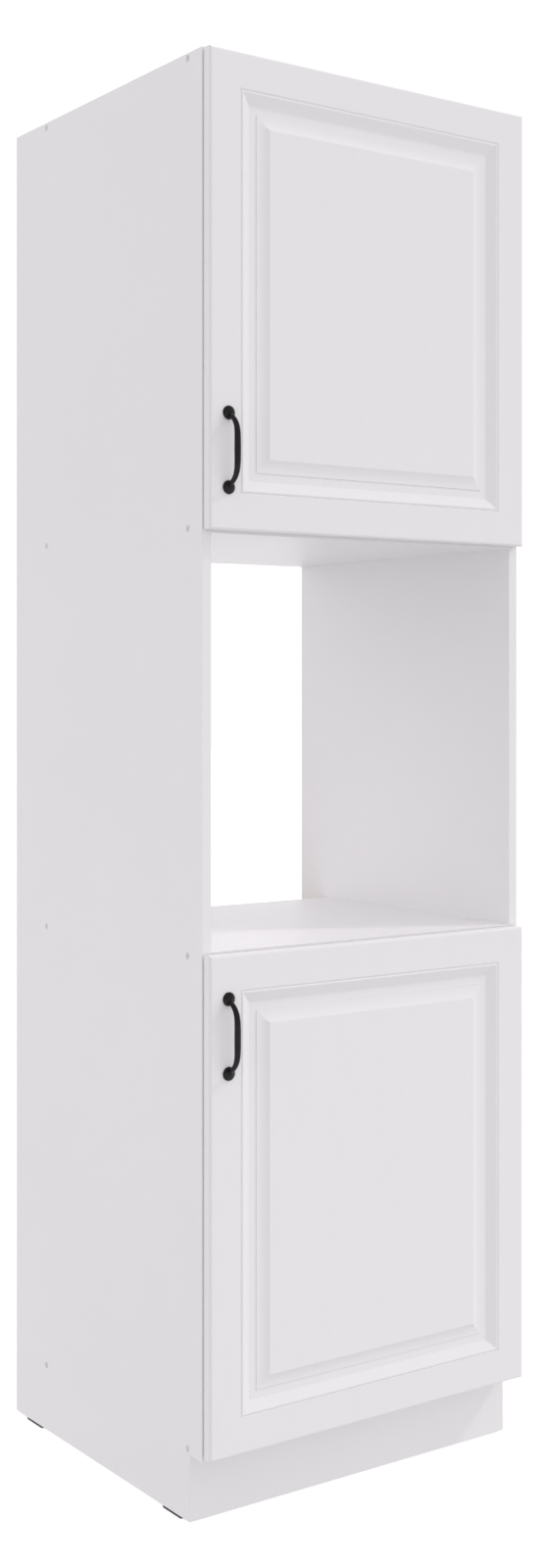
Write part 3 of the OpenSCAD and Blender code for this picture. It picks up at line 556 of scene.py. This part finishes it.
# A rise is a height over the middle of the hinge
PLATE_FACE_X = INNER_HALF_W - 2 * MM
PLATE_SCREW_Y = CARCASS_FRONT_Y + 37 * MM
PLATE_SCREW_RISES = (-16 * MM, 16 * MM)
ARM_FACE_X = INNER_HALF_W - 9.5 * MM
ARM_SCREW_YS = (CARCASS_FRONT_Y + 24 * MM, CARCASS_FRONT_Y + 50 * MM)
CUP_SCREW_X = UNIT_HALF_W - 34 * MM
CUP_SCREW_Y = DOOR_BACK_Y + 1.2 * MM
CUP_SCREW_RISES = (-22.5 * MM, 22.5 * MM)
BUMPER_X = -(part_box("door_lower")[1].x + INNER_HALF_W) / 2
BUMPER_INSET = 22 * MM
BUMPER = in_mm((0.0, 0.0), (4, 0.0), (4, 0.25)) + dome(-2.4 * MM, 4.3 * MM, 40, 8)

for level in LEVELS:
    hinge_zs = HINGE_ZS[level]
    door = f"{level}_door"
    places = [pointing((PLATE_FACE_X, PLATE_SCREW_Y, z + rise), TO_LEFT)
              for z in hinge_zs for rise in PLATE_SCREW_RISES]
    screws(f"plate_screw_heads_{level}", PLATE_SCREW, places, "carcass", f"plate_screws_{level}")
    places = [pointing((ARM_FACE_X, y, z), TO_LEFT) for z in hinge_zs for y in ARM_SCREW_YS]
    screws(f"arm_adjusting_screws_{level}", ARM_SCREW, places, "carcass")
    places = [pointing((CUP_SCREW_X, CUP_SCREW_Y, z + rise), TO_REAR)
              for z in hinge_zs for rise in CUP_SCREW_RISES]
    screws(f"cup_screw_heads_{level}", SMALL_SCREW, places, door, f"cup_screws_{level}")
    places = [pointing((HANDLE_X, DOOR_BACK_Y, HANDLE_ZS[level] + end * HANDLE_PITCH / 2), TO_REAR)
              for end in SIDES]
    screws(f"handle_screw_heads_{level}", HANDLE_SCREW, places, door, f"handle_screws_{level}")
    bm = bmesh.new()
    bottom, top = DOOR_ZS[level]
    for z in (bottom + BUMPER_INSET, top - BUMPER_INSET):
        lathe(bm, BUMPER, pointing((BUMPER_X, DOOR_BACK_Y, z), TO_REAR), 32)
    piece(f"door_bumpers_{level}", bm, CLEAR_RUBBER, door, "clear_rubber", f"bumpers_{level}")


# ---- Screws, nails, pins and plugs of the carcass ----

PLINTH_MID_Z = 52 * MM
PLINTH_LEAF_X = INNER_HALF_W - 2 * MM
PLINTH_LEAF_SCREW_Y = CARCASS_FRONT_Y + 66 * MM
PLINTH_FOOT_SCREW_X = INNER_HALF_W - 18 * MM
PLINTH_FOOT_Y = CARCASS_FRONT_Y + 50 * MM
WALL_BRACKET_X = 209 * MM
WALL_SCREW_SHIFTS = (-8 * MM, 8 * MM)
WALL_SCREW_Y = CARCASS_FRONT_Y + 528 * MM
WALL_SCREW_Z = 2.092

BRACKET_SCREWS = {
    "plinth_screws":
        [pointing((s * PLINTH_LEAF_X, PLINTH_LEAF_SCREW_Y, PLINTH_MID_Z), (-s, 0, 0)) for s in SIDES]
        + [pointing((s * PLINTH_FOOT_SCREW_X, PLINTH_FOOT_Y, PLINTH_MID_Z), TO_REAR) for s in SIDES],
    "wall_bracket_screws":
        [pointing((s * WALL_BRACKET_X + shift, WALL_SCREW_Y, WALL_SCREW_Z), DOWN)
         for s in SIDES for shift in WALL_SCREW_SHIFTS],
}
for replaced, places in BRACKET_SCREWS.items():
    screws(f"{replaced}_cross_head", SMALL_SCREW, places, "carcass", replaced)

# Outlines of a nail, a shelf pin and a plug, from the hidden end outwards
NAIL = in_mm((0.0, -18), (0.8, -16.5), (0.8, -0.4), (2.1, 0.0), (2.2, 0.25), (2.0, 0.5), (1.2, 0.65),
             (0.0, 0.7))
PIN = in_mm((0.0, -9), (1.9, -9), (2.5, -8.2), (2.5, -0.4), (2.7, 0.0), (3.2, 0.0), (3.5, 0.3),
            (3.5, 1.4), (3.1, 1.7), (3.1, 2.1), (3.5, 2.4), (3.5, 7.4), (2.9, 8), (0.0, 8))
PLUG = in_mm((0.0, -2.2), (1.6, -2.2), (1.95, -1.8), (1.95, -0.2), (1.7, 0.1), (0.9, 0.25), (0.0, 0.3))

# The upper back board is nailed on all four edges, the lower one into the panels over and under it
NAIL_XS = [122 * MM * i for i in range(-2, 3)]
NAIL_ROW_ZS = {"upper": (1.428, 2.102), "lower": (0.108, 0.815)}
NAIL_SIDE_X = 288 * MM
NAIL_SIDE_ZS = [1.436 + 0.1316 * i for i in range(1, 5)]
NAIL_SEAT_YS = {"upper": CARCASS_FRONT_Y + 559 * MM, "lower": CARCASS_FRONT_Y + 485 * MM}
NAIL_PLACES = {level: [(x, z) for x in NAIL_XS for z in NAIL_ROW_ZS[level]] for level in LEVELS}
NAIL_PLACES["upper"] += [(s * NAIL_SIDE_X, z) for s in SIDES for z in NAIL_SIDE_ZS]
PIN_YS = (CARCASS_FRONT_Y + 60 * MM, CARCASS_FRONT_Y + 412 * MM)
PIN_ZS = {"upper": 1.7425, "lower": 0.4425}

for level in LEVELS:
    bm = bmesh.new()
    for x, z in NAIL_PLACES[level]:
        lathe(bm, NAIL, pointing((x, NAIL_SEAT_YS[level], z), TO_REAR), 20)
    piece(f"nail_heads_{level}", bm, DULL_ZINC, "carcass", "screw_steel", f"back_nails_{level}")
    bm = bmesh.new()
    for s in SIDES:
        for y in PIN_YS:
            lathe(bm, PIN, pointing((s * INNER_HALF_W, y, PIN_ZS[level]), (-s, 0, 0)), 32)
    piece(f"ribbed_shelf_pins_{level}", bm, NICKEL, "carcass", "zinc_steel", f"shelf_pins_{level}")

# Pale plugs close the sockets of the carcass screws
SCREW_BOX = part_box("carcass_screws_left")
SCREW_HEAD_R = 5 * MM
PLUG_SEAT_X = UNIT_HALF_W - 0.8 * MM
bm = bmesh.new()
for board in CROSS_PANELS:
    z = (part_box(board)[0].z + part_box(board)[1].z) / 2
    for y in (SCREW_BOX[0].y + SCREW_HEAD_R, SCREW_BOX[1].y - SCREW_HEAD_R):
        for s in SIDES:
            lathe(bm, PLUG, pointing((s * PLUG_SEAT_X, y, z), (s, 0, 0)), 24)
piece("carcass_screw_plugs", bm, PALE_PLASTIC, "carcass", None)


# ---- Floor, light and camera ----

STUDIO_TINT = (1.0, 0.972, 1.0)

# The glow's slope is how much it grows towards the right, the rear and the top
GLOW_LEVEL = 0.845
GLOW_SLOPE = (0.09, -0.03, 0.0)
BACKDROP_LEVEL = 1.25
BACKDROP_TOWARDS = (-0.1, 0.995, 0.0)
BACKDROP_EDGE = (0.3, 0.85)
GROUND_SHARE = 0.78
GROUND_EDGE = (-0.25, 0.0)

KEY_DIRECTION = (0.653, -0.297, 0.697)
KEY_ENERGY = 0.56
KEY_ANGLE = math.radians(5.0)

CAMERA_PLACE = (-1.8032, -2.5561, 1.200)
CAMERA_DIRECTION = (0.5758, 0.8176, 0.0)
CAMERA_LENS = 44.42
CAMERA_SHIFT_Y = -0.0616

FLOOR_SIZE = 60.0

# The floor shows, but it lights nothing: what the unit gets from below is the glow's lower half
bpy.ops.mesh.primitive_plane_add(size=FLOOR_SIZE, location=(0.0, 0.0, 0.0))
floor = bpy.context.object
floor.name = "floor"
floor.data.materials.append(floor_paint("floor_paint"))
floor.visible_diffuse = False

# An even glow, a little brighter at the right and the front and dimmer below the horizon, with a
# white backdrop behind the unit
world = bpy.data.worlds.new("studio")
bpy.context.scene.world = world
world.use_nodes = True
tree = world.node_tree
direction = add(tree, "ShaderNodeTexCoord").outputs["Generated"]
glow = math_node(tree, "ADD", along(tree, direction, GLOW_SLOPE), GLOW_LEVEL)
backdrop = smooth_step(tree, along(tree, direction, BACKDROP_TOWARDS), BACKDROP_EDGE)
lift = math_node(tree, "MULTIPLY", math_node(tree, "SUBTRACT", BACKDROP_LEVEL, glow), backdrop)
height = add(tree, "ShaderNodeSeparateXYZ", {0: direction}).outputs["Z"]
ground = smooth_step(tree, height, GROUND_EDGE, GROUND_SHARE)
strength = math_node(tree, "MULTIPLY", math_node(tree, "ADD", glow, lift), ground)
background = tree.nodes["Background"]
background.inputs["Color"].default_value = (*STUDIO_TINT, 1.0)
tree.links.new(strength, background.inputs["Strength"])

# One lamp far off at the upper right grazes the front and picks out the mouldings. It isn't mirrored,
# because that would leave a burnt-out line on the upper door's lowest bevel.
key_data = bpy.data.lights.new("key", "SUN")
key_data.energy = KEY_ENERGY
key_data.color = STUDIO_TINT
key_data.angle = KEY_ANGLE
key = bpy.data.objects.new("key", key_data)
key.rotation_euler = Vector(KEY_DIRECTION).to_track_quat("Z", "Y").to_euler()
key.visible_glossy = False
bpy.context.scene.collection.objects.link(key)

camera_data = bpy.data.cameras.new("camera")
camera_data.lens = CAMERA_LENS
camera_data.shift_y = CAMERA_SHIFT_Y
camera = bpy.data.objects.new("camera", camera_data)
camera.location = CAMERA_PLACE
camera.rotation_euler = Vector(CAMERA_DIRECTION).to_track_quat("-Z", "Y").to_euler()
bpy.context.scene.collection.objects.link(camera)
bpy.context.scene.camera = camera
bpy.context.scene.view_settings.view_transform = "Standard"
